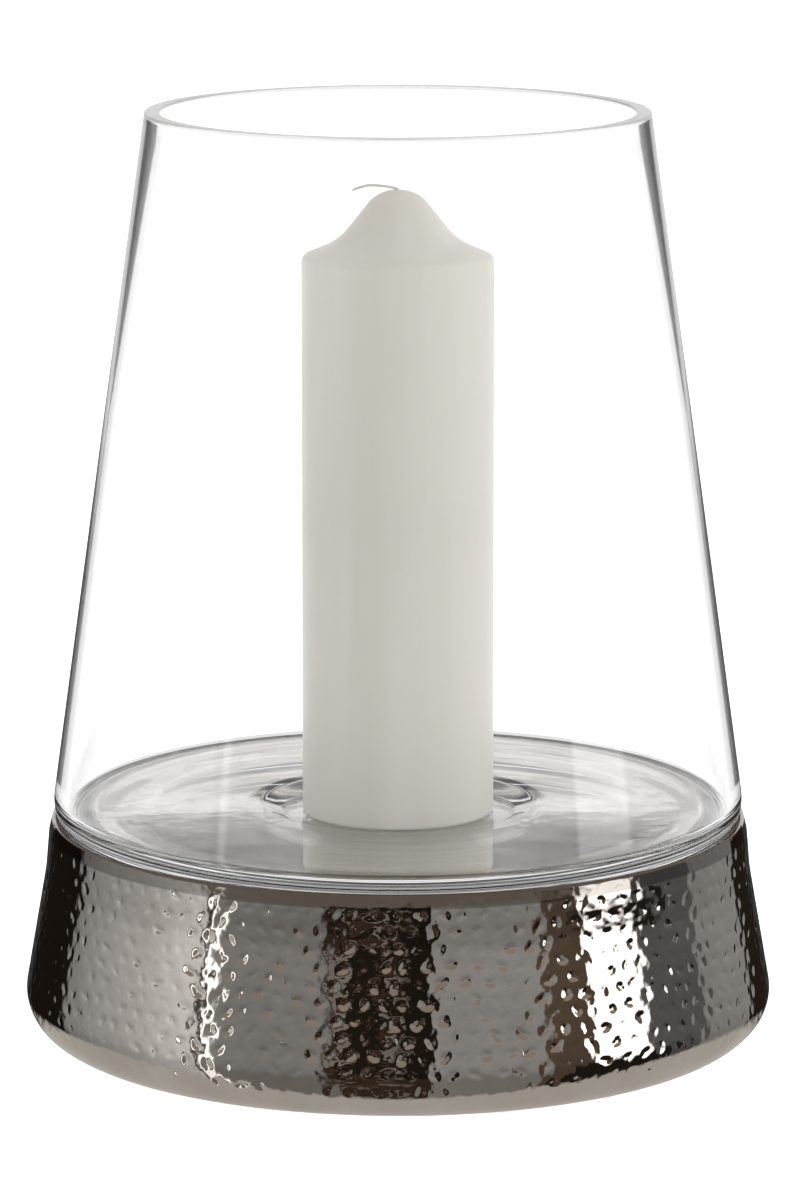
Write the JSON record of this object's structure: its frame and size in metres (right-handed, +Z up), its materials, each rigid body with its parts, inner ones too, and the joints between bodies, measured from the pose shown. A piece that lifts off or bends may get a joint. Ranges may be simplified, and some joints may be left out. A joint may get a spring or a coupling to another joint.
{
  "type": "pillar candle holder",
  "caption": "Candle holder: hammered metallic ceramic base, conical clear glass hurricane with a shallow candle well, and a white bell-topped pillar candle.",
  "frame": {"origin": "centre of the underside, in the plane that the felt pads stand on", "axes": "+Z up along the axis of symmetry; -Y faces the viewer; the wick's free end points to -X"},
  "size_m": [0.2351, 0.2352, 0.2922],
  "materials": {
    "lustre_glaze": "high-gloss dark silver lustre glaze over a hammered relief, smooth lip and seat",
    "clear_glass": "clear polished glass with a ground rim",
    "ivory_wax": "smooth satin wax, slightly translucent",
    "cotton": "braided cotton, waxed",
    "tinned_steel": "thin tinned sheet",
    "felt": "pressed felt"
  },
  "bodies": {
    "base": {"hammered_base": "lustre_glaze", "felt_pad_1": "felt", "felt_pad_2": "felt", "felt_pad_3": "felt", "felt_pad_4": "felt"},
    "glass": {"glass_hurricane": "clear_glass"},
    "candle": {"pillar_candle": "ivory_wax", "wick": "cotton", "wick_sustainer": "tinned_steel"}
  },
  "joints": [
    {"name": "glass_lift", "type": "slide", "parent": "base", "child": "glass", "axis": [0, 0, 1], "range_m": [0, 0.06]},
    {"name": "candle_lift", "type": "slide", "parent": "glass", "child": "candle", "axis": [0, 0, 1], "range_m": [0, 0.24]}
  ]
}
